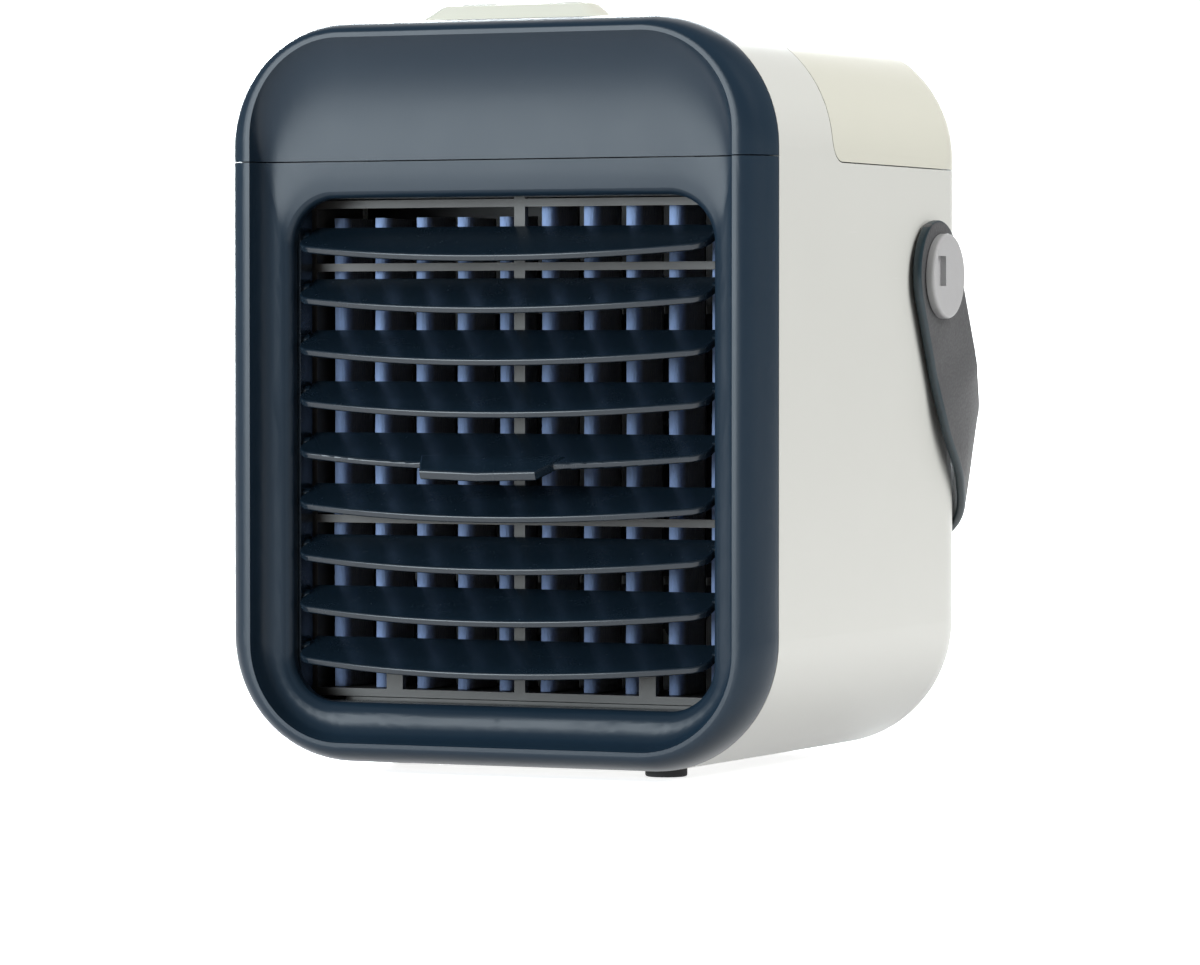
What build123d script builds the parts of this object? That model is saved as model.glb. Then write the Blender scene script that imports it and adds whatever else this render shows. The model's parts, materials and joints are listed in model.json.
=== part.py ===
from build123d import *
import os
from math import cos, pi, radians, sin, sqrt

# A desktop air cooler: a box fan that blows through wet filter sheets and nine tilting louver slats.
# Millimetres. X is across, Y runs from the front ridge to the rear, Z is up and the floor is z = 0.
# Every piece is drawn with the front ridge at y = 0, then the whole is moved so that its box is
# centred over the origin.

os.makedirs("parts", exist_ok=True)

# ---- driving dimensions -------------------------------------------------------------------------
body_width = 150.0
body_height = 188.0
body_depth = 147.0            # front ridge to rear face
corner_radius = 33.0          # corners of the body, looking from the front
rear_radius = 24.0            # rounding all round the rear face
wall = 2.6
gap = 0.3                     # seam between two fixed shells

bezel_depth = 10.5            # front ridge to the seam with the housing
ridge_side = 7.0              # how far the ridge lies inside the outline, at the sides
ridge_top = 3.2
ridge_bottom = 4.2
ridge_width = 1.0
cap_height = 35.4             # the upper bezel piece, from its split line to the top

opening_side = 16.25          # body side to louver opening
opening_top = 44.6
opening_bottom = 15.1
opening_radius = 12.0
opening_edge = 6.9            # y of the opening's rolled edge
lip = 1.6                     # size of that roll

slat_count = 9
slat_tilt = 22.0              # front edge down, at rest
slat_axis_y = 13.6
slat_front = 15.1             # pivot axis to the front edge, in the middle
slat_tip = 7.7                # pivot axis to the front edge, at the ends
slat_rear = 4.6
slat_thickness = 1.9
slat_corner = 5.5             # rounding of a slat's front corners, seen from above
slat_clearance = 1.4          # slat end to opening wall
pin_radius = 1.5
crank_radius = 4.5
crank_pin_radius = 1.1
running_fit = 0.05            # radial clearance of every running fit
tab_width = 36.0
tab_reach = 6.3
tab_thickness = 2.6

filter_front = slat_axis_y + 5.8
filter_depth = 25.6
sheet_count = 10
sheet_thickness = 3.4
sheet_depth = 20.0

tank_front = 45.0             # y of the tank's front seam
tank_height = 36.0
tank_wall = 2.2
tank_corner = 6.5

fan_front = 63.0              # y of the wall that carries the fan
fan_thickness = 26.0
fan_margin = 16.4             # chamber wall to fan frame
blade_count = 7

strap_width = 29.4
strap_thickness = 2.6
strap_slope = 26.0            # degrees behind vertical where the strap leaves its button
pivot_from_rear = 36.0
pivot_below_top = 64.0
button_radius = 11.1

foot_height = 2.0
foot_radius = 5.3
feet_at = [(40.0, 21.0), (-40.0, 38.0), (24.0, body_depth - 36), (-24.0, body_depth - 36)]

key_travel = 0.9
key_offset = 12.0

# ---- sizes worked out from them -----------------------------------------------------------------
half_width = body_width / 2
floor_z = foot_height
top_z = floor_z + body_height
mid_z = floor_z + body_height / 2
split_z = top_z - cap_height
inner_floor = floor_z + wall
housing_front = bezel_depth + gap
rear_inner = body_depth - wall - 0.2

opening_width = body_width - 2 * opening_side
opening_low = floor_z + opening_bottom
opening_high = top_z - opening_top
opening_height = opening_high - opening_low
opening_mid = (opening_low + opening_high) / 2

tank_floor = top_z - tank_height
shelf_z = tank_floor - wall
slat_half = opening_width / 2 - slat_clearance
first_axis = opening_high - 10.0
slat_pitch = (first_axis - opening_low - 13.6) / (slat_count - 1)
slat_axes = [first_axis - i * slat_pitch for i in range(slat_count)]
tab_slat = slat_count // 2

fan_wall = 2.2
fan_z = (inner_floor + shelf_z) / 2
fan_size = min(body_width - 2 * wall, shelf_z - inner_floor) - 2 * fan_margin
duct_radius = fan_size / 2 - 4
rotor_radius = duct_radius - 2
hub_radius = 19.0
fan_y = fan_front + fan_wall + gap
shaft_radius = 1.5

pivot_y = body_depth - pivot_from_rear
pivot_z = top_z - pivot_below_top
washer_thickness = 0.6
strap_inner = half_width + washer_thickness + 0.15
strap_mid = strap_inner + strap_thickness / 2
button_inner = strap_inner + strap_thickness + 0.15
button_thickness = 2.3
shoulder_radius = 4.5

pod_y = bezel_depth + 12.5
pod_height = 3.8


# ---- helpers ------------------------------------------------------------------------------------
def outline(width, low, high, radius, y):
    """A rounded rectangle that faces the front, between two heights."""
    face_on = Plane(origin=(0, y, (low + high) / 2), x_dir=(1, 0, 0), z_dir=(0, 1, 0))
    return face_on * RectangleRounded(width, high - low, radius)


def prism(inset, y_front, y_rear):
    """The body's own outline, drawn in by inset, from one depth to another."""
    width = body_width - 2 * inset
    face = outline(width, floor_z + inset, top_z - inset, corner_radius - inset, y_front)
    return extrude(face, amount=y_rear - y_front)


def body_block(inset, y_front, y_rear):
    """A prism with the rounded rear edge."""
    block = prism(inset, y_front, y_rear)
    rear_edges = block.faces().sort_by(Axis.Y)[-1].edges()
    return fillet(rear_edges, rear_radius - inset)


def block(x0, x1, y0, y1, z0, z1):
    """A plain box from its limits."""
    centre = ((x0 + x1) / 2, (y0 + y1) / 2, (z0 + z1) / 2)
    return Pos(*centre) * Box(x1 - x0, y1 - y0, z1 - z0)


def rod_x(radius, x0, x1, y, z):
    return Pos((x0 + x1) / 2, y, z) * Rot(0, 90, 0) * Cylinder(radius, x1 - x0)


def rod_y(radius, y0, y1, x, z):
    return Pos(x, (y0 + y1) / 2, z) * Rot(90, 0, 0) * Cylinder(radius, y1 - y0)


def rod_z(radius, z0, z1, x, y):
    return Pos(x, y, (z0 + z1) / 2) * Cylinder(radius, z1 - z0)


def tablet(width, depth, radius, z0, z1, x, y):
    """A flat rounded block that lies in the XY plane."""
    return extrude(Pos(x, y, z0) * RectangleRounded(width, depth, radius), amount=z1 - z0)


def mirrored(shape):
    """The same piece on the other side."""
    return mirror(shape, about=Plane.YZ)


# ---- front bezel --------------------------------------------------------------------------------
def bezel_band():
    """The outer band rolls forward and in from the seam to the ridge."""
    sections = []
    for step in range(6):
        turn = radians(90 * step / 5)
        side = ridge_side * (1 - cos(turn))
        top = ridge_top * (1 - cos(turn))
        bottom = ridge_bottom * (1 - cos(turn))
        radius = corner_radius - side
        y = bezel_depth * (1 - sin(turn))
        sections.append(outline(body_width - 2 * side, floor_z + bottom, top_z - top, radius, y))
    return loft(sections)


def cove():
    """The hollow from the ridge back to the opening, with the opening's rolled edge."""
    ridge = (body_width - 2 * ridge_side - 2 * ridge_width, floor_z + ridge_bottom + ridge_width,
             top_z - ridge_top - ridge_width, corner_radius - ridge_side - ridge_width)
    edge = (opening_width + 2 * lip, opening_low - lip, opening_high + lip, opening_radius + lip)
    hole = (opening_width, opening_low, opening_high, opening_radius)
    sections = []
    for share, depth in ((0.0, 0.0), (0.14, 0.45), (0.45, 0.8), (1.0, 1.0)):
        mixed = [a + (b - a) * share for a, b in zip(ridge, edge)]
        sections.append(outline(*mixed, opening_edge * depth))
    lead = outline(*ridge, -3.0)
    front = loft([lead, sections[0]])
    bowl = loft(sections)
    rolled = [edge, [(a * 0.35 + b * 0.65) for a, b in zip(edge, hole)], hole]
    depths = (opening_edge, opening_edge + 0.45 * lip, opening_edge + lip)
    roll = loft([outline(*size, y) for size, y in zip(rolled, depths)])
    through = extrude(outline(*hole, opening_edge + lip), amount=bezel_depth)
    return front + bowl + roll + through


def whole_bezel():
    ring_outer = prism(wall + 0.2, bezel_depth - 0.5, bezel_depth + 5.0)
    ring_inner = prism(wall + 2.0, bezel_depth - 1.0, bezel_depth + 6.0)
    spigot = ring_outer - ring_inner
    pocket_outer = prism(3.4, 6.8, bezel_depth + 6)
    pocket_inner = extrude(outline(body_width - 2 * ridge_side - 1.6, floor_z + ridge_bottom + 4.4,
                                   top_z - ridge_top - 9.0, corner_radius - ridge_side - 1.5, 3.0),
                           amount=bezel_depth + 6)
    pocket = pocket_outer - pocket_inner
    return bezel_band() - cove() - pocket + spigot


def split_bezel():
    whole = whole_bezel()
    reach = body_width
    lower = whole & block(-reach, reach, -9, 30, -9, split_z - gap / 2)
    upper = whole & block(-reach, reach, -9, 30, split_z + gap / 2, top_z + 9)
    for x in (-46, 46):
        hook = block(x - 6, x + 6, bezel_depth + 0.2, bezel_depth + 2.2, split_z - 3.4, split_z + 6)
        root = block(x - 6, x + 6, bezel_depth - 1.5, bezel_depth + 2.2, split_z + 0.3, split_z + 6)
        upper += hook + root
    for x in (-30, 30):
        for z in (opening_low - 2.6, opening_high + 2.9):
            lower -= rod_y(1.25, bezel_depth - 3.0, bezel_depth + 1, x, z)
    return lower, upper


# ---- louver -------------------------------------------------------------------------------------
louver_frame_half = opening_width / 2 + 2.45
rail_face = opening_width / 2 - 0.75
crank_inner = louver_frame_half + 0.7
crank_arm = 1.7
link_inner = crank_inner + crank_arm + 0.3
link_thickness = 2.2


def tilted(shape, axis_z):
    """Turns a slat, drawn flat about the X axis, front edge down, and puts it on its pivot axis."""
    return Pos(0, slat_axis_y, axis_z) * Rot(slat_tilt, 0, 0) * shape


def slat_blade():
    tip_left = (-slat_half, -slat_tip)
    tip_right = (slat_half, -slat_tip)
    bow = ThreePointArc(tip_left, (0, -slat_front), tip_right)
    back = Polyline(tip_right, (slat_half, slat_rear), (-slat_half, slat_rear), tip_left)
    plan = make_face(Wire([bow] + back.edges()))
    plan = fillet(plan.vertices().sort_by(Axis.Y)[:2], slat_corner)
    blade = extrude(plan, amount=slat_thickness / 2, both=True)
    front_edges = blade.edges().filter_by(GeomType.CIRCLE)
    return fillet(front_edges, slat_thickness * 0.3)


def slat(index):
    body = slat_blade()
    for side in (-1, 1):
        inner, outer = sorted((side * (slat_half - 1), side * louver_frame_half))
        body += rod_x(pin_radius, inner, outer, 0, 0)
    arm = rod_x(pin_radius, louver_frame_half - 1, crank_inner + crank_arm, 0, 0)
    arm += rod_x(2.2, crank_inner, crank_inner + crank_arm, 0, 0)
    arm += rod_x(2.0, crank_inner, crank_inner + crank_arm, crank_radius, 0)
    arm += block(crank_inner, crank_inner + crank_arm, 0, crank_radius, -1.6, 1.6)
    arm += rod_x(crank_pin_radius, crank_inner + crank_arm - 0.5, link_inner + link_thickness + 0.3,
                 crank_radius, 0)
    body += arm
    if index == tab_slat:
        rear = -slat_front + 5.0
        shape = Polyline((-tab_width / 2 - 2.2, rear), (-tab_width / 2, -slat_front - 0.6),
                         (-tab_width / 2 + 2, -slat_front - tab_reach + 1.2),
                         (0, -slat_front - tab_reach),
                         (tab_width / 2 - 2, -slat_front - tab_reach + 1.2),
                         (tab_width / 2, -slat_front - 0.6), (tab_width / 2 + 2.2, rear), close=True)
        tab = extrude(make_face(shape), amount=tab_thickness / 2, both=True)
        body += fillet(tab.edges().filter_by(Plane.XY), 0.7)
    return tilted(body, slat_axes[index])


def louver_frame():
    low = opening_low - 5.3
    high = opening_high + 5.4
    outer = extrude(outline(2 * louver_frame_half, low, high, opening_radius - 2, housing_front),
                    amount=6.4)
    inner = extrude(outline(2 * rail_face, opening_low, opening_high, 3.0, housing_front - 1), amount=9)
    frame = outer - inner
    for z in slat_axes:
        hole_radius = pin_radius + running_fit
        frame -= rod_x(hole_radius, -half_width, half_width, slat_axis_y, z)
        frame -= block(rail_face, half_width, slat_axis_y, housing_front + 9, z - 1.3, z + 1.3)
    for x in (-30, 30):
        for z in (opening_low - 2.6, opening_high + 2.9):
            frame -= rod_y(1.4, housing_front - 1, housing_front + 9, x, z)
    return frame


def louver_screws():
    screws = []
    rear = housing_front + 6.4
    for x in (-30, 30):
        for z in (opening_low - 2.6, opening_high + 2.9):
            head = rod_y(2.3, rear, rear + 1.5, x, z)
            screws.append(head + rod_y(1.2, bezel_depth - 2.8, rear, x, z)
                          - block(x - 1.6, x + 1.6, rear + 0.9, rear + 2, z - 0.3, z + 0.3))
    return Compound(screws)


def crank_centre(axis_z):
    turn = radians(slat_tilt)
    return slat_axis_y + crank_radius * cos(turn), axis_z + crank_radius * sin(turn)


def louver_link():
    y, low = crank_centre(slat_axes[-1])
    high = crank_centre(slat_axes[0])[1]
    bar = block(link_inner, link_inner + link_thickness, y - 2.3, y + 2.3, low, high)
    bar += rod_x(2.3, link_inner, link_inner + link_thickness, y, low)
    bar += rod_x(2.3, link_inner, link_inner + link_thickness, y, high)
    for z in slat_axes:
        bar -= rod_x(crank_pin_radius + running_fit, link_inner - 1, link_inner + 4, y,
                     crank_centre(z)[1])
    return bar


# ---- housing ------------------------------------------------------------------------------------
def tank_bay(clearance, below=0.0):
    """The room for the tank: all that lies behind its front seam and above its floor."""
    room = block(-body_width, body_width, tank_front + clearance, body_depth + 20,
                 tank_floor + clearance - below, top_z + 20)
    corner = room.edges().filter_by(Axis.X).sort_by(Axis.Y)[:2].sort_by(Axis.Z)[0]
    return fillet(corner, tank_corner - clearance)


def grille_cuts():
    """Rows of slots inside a circle, behind the fan."""
    cuts = []
    rows = 7
    pitch = 2 * (duct_radius - 8) / (2 * rows)
    for row in range(-rows, rows + 1):
        half = sqrt(max((duct_radius - 5) ** 2 - (row * pitch) ** 2, 100.0))
        face = Plane(origin=(0, body_depth - wall - 3, fan_z + row * pitch), x_dir=(1, 0, 0),
                     z_dir=(0, 1, 0))
        cuts.append(extrude(face * SlotOverall(2 * half, pitch * 0.5), amount=wall + 6))
    return cuts


board_low = inner_floor + 6.4
board_thickness = 1.6
board_front = rear_inner - 48
board_rear = rear_inner - 9
inlet_x = 40.0
inlet_z = 30.0


def board_posts():
    posts = []
    for x in (-25, 25):
        for y in (board_front + 5, board_rear - 12):
            posts.append(rod_z(3, inner_floor - 0.5, board_low, x, y))
    return posts


def fan_corners():
    reach = fan_size / 2 - 6
    return [(sx * reach, fan_z + sz * reach) for sx in (-1, 1) for sz in (-1, 1)]


def housing_shell():
    """The tub: outer walls, rear grille, and the posts and rests moulded on them."""
    inside = body_block(wall, housing_front - 1, rear_inner)
    shell = body_block(0, housing_front, body_depth) - inside
    shell -= tank_bay(0)
    for side in (-1, 1):
        x0, x1 = sorted((side * (opening_width / 2 - 1.5), side * half_width))
        rear = filter_front + filter_depth + gap
        shell += inside & block(x0, x1, rear, rear + 1.8, opening_low + 3, opening_high)
        x0, x1 = sorted((side * 28, side * 32))
        shell += block(x0, x1, filter_front + 1, filter_front + filter_depth, inner_floor - 0.5, tray_low)
        x0, x1 = sorted((side * (half_width - wall - 2.5), side * (half_width - wall / 2)))
        shell += block(x0, x1, fan_front + fan_wall + 6, pivot_y - 16, shelf_z - 3, shelf_z)
        for y in (fan_front - 1.8 - fit, fan_front + fan_wall + fit):
            shell += block(x0, x1, y, y + 1.8, fan_z - 40, fan_z + 40)
    for cut in grille_cuts():
        shell -= cut
    for post in board_posts():
        shell += post
    for x in (-25, 25):
        for y in (board_front + 5, board_rear - 12):
            shell -= rod_z(1.1, board_low - 5, board_low + 1, x, y)
    for x, y in feet_at:
        shell -= rod_z(foot_radius - 1, floor_z - 1, floor_z + 1.3, x, y)
    shell -= rod_x(shoulder_radius + 0.1, -half_width - 1, half_width + 1, pivot_y, pivot_z)
    shell -= tablet(46, 13.4, 3, top_z - wall - 1, top_z + 1, 0, pod_y)
    for x in (-20, 20):
        shell += rod_z(2.4, key_board_z + 1.6, top_z - wall + 0.5, x, pod_y + 9.5)
        shell -= rod_z(1.0, key_board_z, key_board_z + 7, x, pod_y + 9.5)
    seat = inlet_z - 1.65
    shell += block(inlet_x - 6, inlet_x + 6, rear_inner - 6.5, rear_inner + 1, seat - 1.6, seat)
    hole = Plane(origin=(inlet_x, rear_inner - 0.1, inlet_z), x_dir=(1, 0, 0), z_dir=(0, 1, 0))
    return shell - extrude(hole * RectangleRounded(9.5, 3.9, 1.8), amount=12)


fit = 0.15                    # between two fixed pieces, one inside the other


def fan_baffle():
    """The plate across the tub that carries the fan on four bosses. It slides in between ribs."""
    plate = prism(wall + fit, fan_front, fan_front + fan_wall)
    plate &= block(-half_width, half_width, fan_front - 1, fan_front + 9, 0, shelf_z - fit)
    plate -= rod_y(duct_radius, fan_front - 1, fan_front + fan_wall + 1, 0, fan_z)
    for x, z in fan_corners():
        plate += rod_y(4, fan_front - 4, fan_front, x, z)
        plate -= rod_y(1.75, fan_front - 3, fan_front + fan_wall + 1, x, z)
    return plate


def tank_shelf():
    """The wall and floor of the tank's bay, one bent plate inside the tub."""
    shelf = body_block(wall + fit, tank_front - wall, rear_inner - fit)
    shelf &= block(-half_width, half_width, tank_front - wall, body_depth, shelf_z, top_z)
    return shelf - tank_bay(0) - rod_z(6, shelf_z - 1, tank_floor + 1, 0, valve_y)


def dust_screen():
    """A thin foam disc over the inside of the grille."""
    return rod_y(duct_radius - 2, rear_inner - 2.0, rear_inner - fit, 0, fan_z)


def rubber_feet():
    feet = []
    for x, y in feet_at:
        foot = rod_z(foot_radius, 0, foot_height, x, y)
        foot = fillet(foot.edges().sort_by(Axis.Z)[0], 0.6)
        feet.append(foot + rod_z(foot_radius - 1.05, foot_height - 0.5, foot_height + 1.2, x, y))
    return Compound(feet)


# ---- water system -------------------------------------------------------------------------------
lid_width = 44.0
lid_depth = 33.0
lid_thickness = 2.2
lid_axis_y = tank_front + 19.0
lid_axis_z = top_z - 1.3
lid_pin_radius = 0.8
lid_centre_y = lid_axis_y + lid_depth / 2 - 1.5
neck_width = 32.0
neck_depth = 18.0
neck_y = lid_centre_y + 1.5
valve_y = tank_front + 12.0


def water_tank():
    tank = body_block(0, tank_front + gap, body_depth) & tank_bay(gap)
    room = body_block(tank_wall, tank_front + gap, body_depth - tank_wall)
    tank -= room & tank_bay(gap + tank_wall)
    collar = tablet(lid_width + 5, lid_depth + 5, 4, top_z - 6.0, top_z - 1, 0, lid_centre_y)
    tank += collar
    tank -= tablet(lid_width + 0.7, lid_depth + 0.7, 2.5, top_z - lid_thickness - 0.4, top_z + 1,
                   0, lid_centre_y)
    groove = lid_width / 2 + 0.35
    tank -= block(-groove, groove, lid_axis_y - 2.6, lid_axis_y + 3, top_z - 3.6, top_z + 1)
    tank -= tablet(neck_width, neck_depth, 5, top_z - 9, top_z, 0, neck_y)
    tank -= rod_x(lid_pin_radius, -17, 17, lid_axis_y, lid_axis_z)
    for side in (-1, 1):
        x0, x1 = sorted((side * 13.0, side * 17.0))
        lug = block(x0, x1, lid_axis_y - 2.5, lid_axis_y + 1.5, top_z - 4.5, top_z - 0.2)
        tank += lug - rod_x(lid_pin_radius, -20, 20, lid_axis_y, lid_axis_z)
    tank -= rod_z(3.55, tank_floor - 1, tank_floor + 2.6, 0, valve_y)
    return tank


def tank_lid():
    plate = tablet(lid_width, lid_depth, 2.2, top_z - lid_thickness, top_z, 0, lid_centre_y)
    for side in (-1, 1):
        x0, x1 = sorted((side * 12.5, side * 18.0))
        plate -= block(x0, x1, lid_axis_y - 4, lid_axis_y + 2.2, top_z - 4, top_z + 1)
    plate += rod_x(1.3, -12.3, 12.3, lid_axis_y, lid_axis_z)
    plate -= rod_x(lid_pin_radius + running_fit, -30, 30, lid_axis_y, lid_axis_z)
    skirt = tablet(neck_width - 3.4, neck_depth - 3.4, 3.6, top_z - 5.4, top_z - 1.5, 0, neck_y)
    skirt -= tablet(neck_width - 6.4, neck_depth - 6.4, 2.4, top_z - 6, top_z - lid_thickness, 0, neck_y)
    plate += skirt
    notch = Pos(0, lid_centre_y + lid_depth / 2, top_z) * Sphere(4.5)
    return plate - notch


def lid_seal():
    ring = tablet(neck_width - 1.0, neck_depth - 1.0, 4.4, top_z - 4.8, top_z - 3.3, 0, neck_y)
    return ring - tablet(neck_width - 3.4, neck_depth - 3.4, 3.6, top_z - 6, top_z - 2, 0, neck_y)


def lid_pin():
    return rod_x(lid_pin_radius, -16.8, 16.8, lid_axis_y, lid_axis_z)


def drip_valve():
    """A barbed plug in the tank floor, with a narrow bore that meters the water."""
    plug = rod_z(3.5, tank_floor + 0.2, tank_floor + 4.5, 0, valve_y)
    plug += rod_z(4.6, tank_floor + gap + tank_wall, tank_floor + gap + tank_wall + 1.5, 0, valve_y)
    plug += rod_z(2.2, shelf_z - 2.0, tank_floor + 1, 0, valve_y)
    return plug - rod_z(0.9, shelf_z - 3, tank_floor + 8, 0, valve_y)


trough_low = shelf_z - 4.2


def sheet_places():
    pitch = (opening_width + 0.5) / sheet_count
    return [(i - (sheet_count - 1) / 2) * pitch for i in range(sheet_count)]


def drip_trough():
    """The shallow tray over the filter sheets. Each sheet has a row of drip holes."""
    half = opening_width / 2 - 1.5
    tray = block(-half, half, filter_front + 1.5, fan_front - 1.5, trough_low, shelf_z - 0.2)
    tray -= block(-half + 1.3, half - 1.3, filter_front + 2.8, fan_front - 2.8, trough_low + 1.2,
                  shelf_z + 1)
    for x in sheet_places():
        for step in range(4):
            tray -= rod_z(0.8, trough_low - 1, trough_low + 2, x, filter_front + 6 + 5 * step)
    return tray


tray_low = inner_floor + 3.6
tray_half = opening_width / 2 - 7.5


def collector_tray():
    rear = filter_front + filter_depth + 1
    low = tray_low
    high = opening_low + 0.7
    tray = block(-tray_half, tray_half, filter_front, rear, low, high)
    tray = fillet(tray.edges().filter_by(Axis.Z), 4)
    room = block(-tray_half + 1.4, tray_half - 1.4, filter_front + 1.4, rear - 1.4, low + 1.4, high + 1)
    return tray - fillet(room.edges().filter_by(Axis.Z), 2.6)


frame_low = opening_low + 0.9
frame_high = trough_low - 0.2
frame_half = opening_width / 2 + 0.75


def filter_frame():
    rear = filter_front + filter_depth
    frame = block(-frame_half, frame_half, filter_front, rear, frame_low, frame_high)
    frame -= block(-frame_half + 1.8, frame_half - 1.8, filter_front - 1, rear + 1, frame_low + 2,
                   frame_high - 1.6)
    frame += block(-1.5, 1.5, filter_front, filter_front + 2, frame_low + 1, frame_high - 1)
    for z in (opening_high - 1.4, opening_high - 17.5, opening_low + 46.4):
        frame += block(-frame_half + 1, frame_half - 1, filter_front, filter_front + 1.6, z - 1, z + 1)
    for z in (frame_low + 30, frame_high - 30):
        frame += block(-frame_half + 1, frame_half - 1, rear - 1.6, rear, z - 1, z + 1)
    for x in (-35.5, 35.5):
        frame += block(x - 2.3, x + 2.3, filter_front, filter_front + 2, frame_low + 1, frame_low + 12)
    for x in sheet_places():
        for step in range(4):
            frame -= rod_z(0.9, frame_high - 4, frame_high + 1, x, filter_front + 6 + 5 * step)
    return frame


def filter_sheets():
    front = filter_front + 3.1
    sheets = []
    for i, x in enumerate(sheet_places()):
        high = frame_high - 1.8 - (4.0 if i < sheet_count / 2 else 0.0)
        sheets.append(block(x - sheet_thickness / 2, x + sheet_thickness / 2, front,
                            front + sheet_depth - 1.8, frame_low + 2.2, high))
    return Compound(sheets)


# ---- fan ----------------------------------------------------------------------------------------
motor_y = fan_y + fan_thickness - 3.0


def fan_frame():
    """Square frame, round duct, and a motor seat on four struts behind the blades."""
    rear = fan_y + fan_thickness
    face = Plane(origin=(0, fan_y, fan_z), x_dir=(1, 0, 0), z_dir=(0, 1, 0))
    frame = extrude(face * RectangleRounded(fan_size, fan_size, 6), amount=fan_thickness)
    frame -= rod_y(duct_radius, fan_y - 1, rear + 1, 0, fan_z)
    for angle in (20, 110, 200, 290):
        strut = block(hub_radius - 2, duct_radius + 1.5, rear - 3, rear, -2.0, 2.0)
        frame += Pos(0, 0, fan_z) * Rot(0, angle, 0) * strut
    frame += rod_y(hub_radius, motor_y, rear, 0, fan_z)
    frame += rod_y(5.0, fan_y + 6, motor_y + 1, 0, fan_z)
    frame -= rod_y(4.0, fan_y + 5, motor_y, 0, fan_z)
    for x, z in fan_corners():
        frame -= rod_y(2.1, fan_y - 1, rear + 1, x, z)
    return frame


def fan_blade(index):
    """A twisted blade, steep at the hub and shallow at the tip."""
    middle = fan_y + 11.5
    sections = []
    for radius, chord, pitch in ((hub_radius - 1, 21, 42), (rotor_radius * 0.66, 27, 33),
                                 (rotor_radius + 1.5, 32, 25)):
        angle = radians(pitch)
        plane = Plane(origin=(radius, middle, 0), x_dir=(0, sin(angle), cos(angle)), z_dir=(1, 0, 0))
        sections.append(plane * Rectangle(chord, 1.7))
    blade = loft(sections)
    return Rot(0, 360 * index / blade_count, 0) * blade


def fan_rotor():
    cup_front = fan_y + 1.0
    cup_rear = motor_y - 0.8
    blades = fan_blade(0)
    for index in range(1, blade_count):
        blades += fan_blade(index)
    blades &= rod_y(rotor_radius, cup_front, cup_rear + 1, 0, 0)
    blades -= rod_y(hub_radius - 1, cup_front - 2, cup_rear + 3, 0, 0)
    cup = rod_y(hub_radius, cup_front, cup_rear, 0, 0)
    cup = fillet(cup.edges().filter_by(GeomType.CIRCLE).sort_by(Axis.Y)[0], 2.0)
    cup -= rod_y(hub_radius - 2, cup_front + 2.4, cup_rear + 1, 0, 0)
    boss = rod_y(3.0, cup_front + 1, cup_front + 4.4, 0, 0)
    rotor = cup + blades + boss - rod_y(shaft_radius, cup_front + 1.2, cup_front + 9, 0, 0)
    return Pos(0, 0, fan_z) * rotor


def rotor_magnet():
    front = fan_y + 4.5
    ring = rod_y(hub_radius - 2, front, front + 14, 0, fan_z)
    return ring - rod_y(hub_radius - 4, front - 1, front + 16, 0, fan_z)


def fan_shaft():
    return rod_y(shaft_radius, fan_y + 2.2, motor_y - 0.5, 0, fan_z)


def fan_bearings():
    rings = []
    for start in (fan_y + 6.2, motor_y - 4.4):
        ring = rod_y(4.0, start, start + 4, 0, fan_z)
        rings.append(ring - rod_y(shaft_radius + running_fit, start - 1, start + 5, 0, fan_z))
    return Compound(rings)


def motor_stator():
    """Four wound poles round the bearing tube."""
    front = fan_y + 8
    core = rod_y(7.5, front, front + 9, 0, fan_z)
    for index in range(4):
        pole = block(6, 13.2, front + 1, front + 8, -2.0, 2.0)
        shoe = rod_y(hub_radius - 5, front + 1, front + 8, 0, 0) - rod_y(hub_radius - 6.5, front, front + 9, 0, 0)
        shoe &= block(0, 20, front, front + 9, -7, 7)
        core += Pos(0, 0, fan_z) * Rot(0, 90 * index, 0) * (pole + shoe)
    return core - rod_y(5.0, front - 1, front + 12, 0, fan_z)


def fan_screws():
    screws = []
    rear = fan_y + fan_thickness
    for x, z in fan_corners():
        head = rod_y(3.5, rear, rear + 2.2, x, z)
        head = fillet(head.edges().filter_by(GeomType.CIRCLE).sort_by(Axis.Y)[-1], 0.8)
        head -= block(x - 2.4, x + 2.4, rear + 1.2, rear + 3, z - 0.4, z + 0.4)
        screws.append(head + rod_y(1.7, fan_front - 2.8, rear + 0.2, x, z))
    return Compound(screws)


# ---- electrics ----------------------------------------------------------------------------------
def main_board():
    board = block(-30, 30, board_front, board_rear, board_low, board_low + board_thickness)
    for x in (-25, 25):
        for y in (board_front + 5, board_rear - 12):
            board -= rod_z(1.4, board_low - 1, board_low + 3, x, y)
    top = board_low + board_thickness
    board += block(-14, -4, board_front + 12, board_front + 22, top, top + 1.4)
    board += block(6, 18, board_front + 4, board_front + 9, top, top + 4.5)
    board += rod_z(3.2, top - 0.2, top + 7, 12, board_front + 18)
    return board


def board_screws():
    screws = []
    top = board_low + board_thickness
    for x in (-25, 25):
        for y in (board_front + 5, board_rear - 12):
            screws.append(rod_z(2.2, top, top + 1.4, x, y) + rod_z(1.0, board_low - 4, top + 0.2, x, y))
    for x in (-20, 20):
        y = pod_y + 9.5
        screws.append(rod_z(2.0, key_board_z - 1.3, key_board_z, x, y)
                      + rod_z(0.95, key_board_z - 0.2, key_board_z + 6, x, y))
    return Compound(screws)


def power_inlet():
    """The small oval socket for the charging lead."""
    face = Plane(origin=(inlet_x, rear_inner - 7.2, inlet_z), x_dir=(1, 0, 0), z_dir=(0, 1, 0))
    shell = extrude(face * RectangleRounded(8.9, 3.3, 1.6), amount=8.2)
    shell -= extrude(face.offset(1.2) * RectangleRounded(8.3, 2.7, 1.3), amount=12)
    return shell + extrude(face * RectangleRounded(6.6, 0.7, 0.3), amount=6)


key_board_z = top_z - 14.0


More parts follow.
